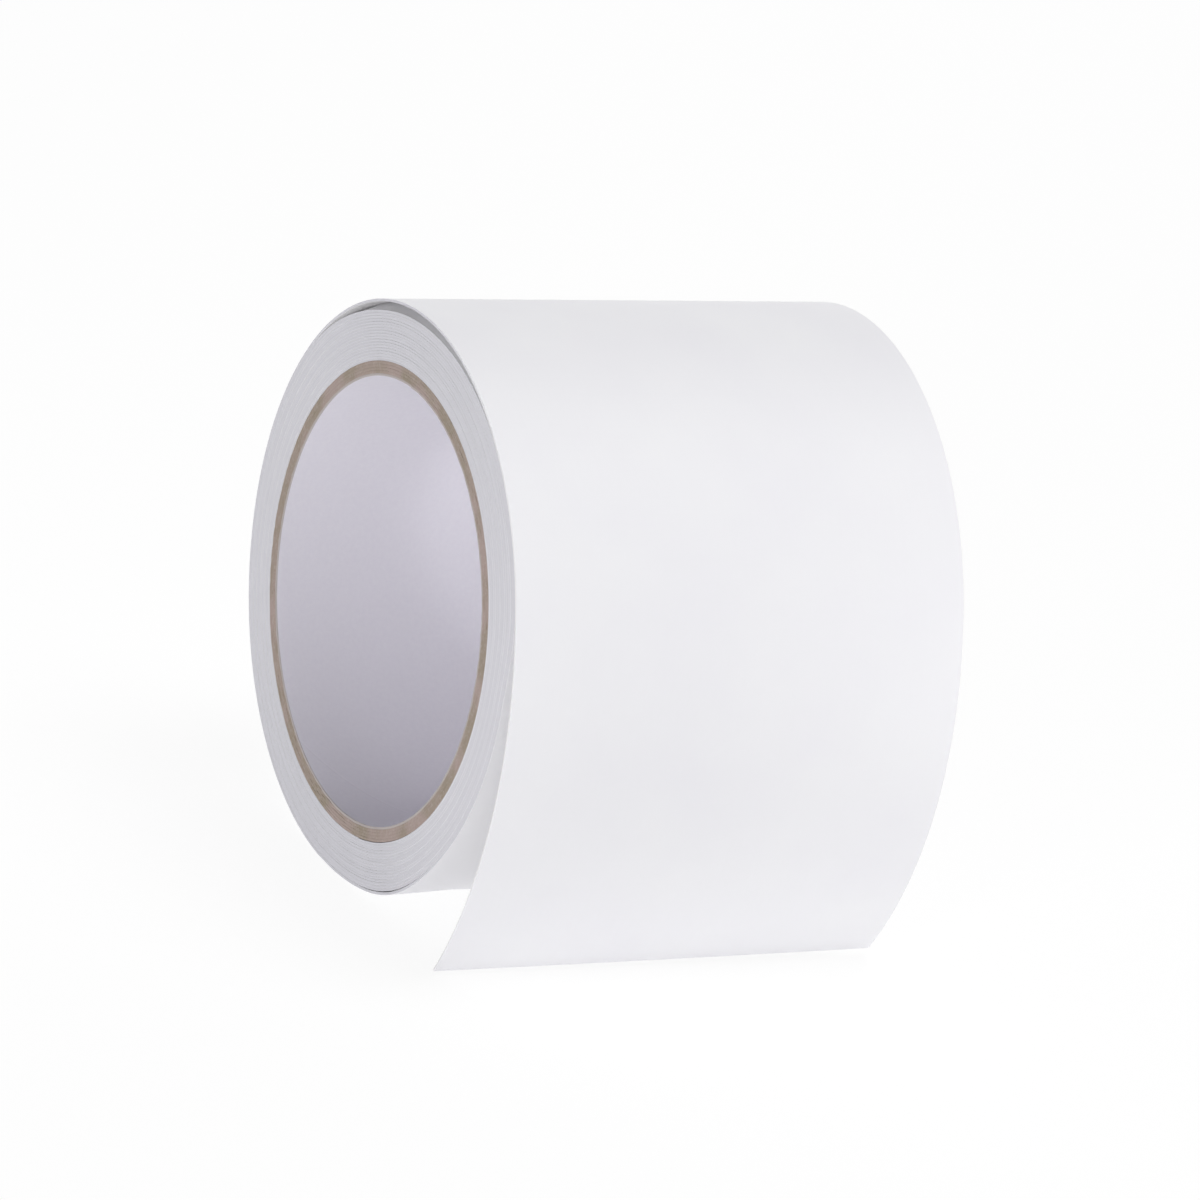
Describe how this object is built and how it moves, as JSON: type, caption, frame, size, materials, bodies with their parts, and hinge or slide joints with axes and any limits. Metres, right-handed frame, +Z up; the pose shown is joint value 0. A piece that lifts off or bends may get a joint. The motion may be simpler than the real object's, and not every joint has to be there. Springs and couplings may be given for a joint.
{
  "type": "repair tape roll",
  "caption": "Roll of white tarpaulin repair tape on a spiral-wound paper core, its outer turn sprung loose and its curled free end hanging clear, ready to be pulled off.",
  "frame": {"origin": "middle of the small flat that the roll rests on, under the roll's axis and halfway along its width", "axes": "+Z up, Y along the roll's axis with the end that shows in the picture at -Y, +X towards the side where the free end hangs"},
  "size_m": [0.1025, 0.085, 0.0993],
  "materials": {
    "lining_paper": "matte",
    "kraft_paper": "matte",
    "wound_tape": "matte",
    "coated_tape": "satin",
    "release_liner": "satin"
  },
  "bodies": {
    "roll": {"core_lining": "lining_paper", "core_kraft_ply_1": "kraft_paper", "core_kraft_ply_2": "kraft_paper", "core_kraft_ply_3": "kraft_paper", "core_kraft_ply_4": "kraft_paper", "inner_turns": "wound_tape", "outer_turns_tape": "coated_tape", "outer_turns_liner": "release_liner"},
    "free_end_1": {"free_end_tape_1": "coated_tape", "free_end_liner_1": "release_liner"},
    "free_end_2": {"free_end_tape_2": "coated_tape", "free_end_liner_2": "release_liner"},
    "free_end_3": {"free_end_tape_3": "coated_tape", "free_end_liner_3": "release_liner"},
    "free_end_4": {"free_end_tape_4": "coated_tape", "free_end_liner_4": "release_liner"},
    "free_end_5": {"free_end_tape_5": "coated_tape", "free_end_liner_5": "release_liner"},
    "tape_tip": {"lifting_tip": "coated_tape"}
  },
  "joints": [
    {"name": "free_end_bend_1", "type": "hinge", "parent": "roll", "child": "free_end_1", "pos_m": [0.04579, 0, 0.0692], "axis": [0, -1, 0], "range_deg": [-4, 30], "stiffness_Nm_per_rad": 0.003},
    {"name": "free_end_bend_2", "type": "hinge", "parent": "free_end_1", "child": "free_end_2", "pos_m": [0.05044, 0, 0.05575], "axis": [0.0017, -1, 0.0005], "range_deg": [-4, 30], "stiffness_Nm_per_rad": 0.003},
    {"name": "free_end_bend_3", "type": "hinge", "parent": "free_end_2", "child": "free_end_3", "pos_m": [0.05242, 0, 0.04166], "axis": [0.0069, -1, 0.0011], "range_deg": [-4, 30], "stiffness_Nm_per_rad": 0.003},
    {"name": "free_end_bend_4", "type": "hinge", "parent": "free_end_3", "child": "free_end_4", "pos_m": [0.05165, 0, 0.02745], "axis": [0.0157, -0.9999, 0.0005], "range_deg": [-4, 30], "stiffness_Nm_per_rad": 0.003},
    {"name": "free_end_bend_5", "type": "hinge", "parent": "free_end_4", "child": "free_end_5", "pos_m": [0.04815, 0, 0.01366], "axis": [0.0275, -0.9996, -0.0026], "range_deg": [-4, 30], "stiffness_Nm_per_rad": 0.003},
    {"name": "tip_lift", "type": "hinge", "parent": "free_end_5", "child": "tape_tip", "pos_m": [0.04633, 0, 0.00853], "axis": [0.0328, -0.9995, -0.0045], "range_deg": [0, 120]}
  ],
  "couplings": [
    {"joint": "free_end_bend_2", "follows": "free_end_bend_1", "ratio": 1},
    {"joint": "free_end_bend_3", "follows": "free_end_bend_1", "ratio": 1},
    {"joint": "free_end_bend_4", "follows": "free_end_bend_1", "ratio": 1},
    {"joint": "free_end_bend_5", "follows": "free_end_bend_1", "ratio": 1}
  ]
}
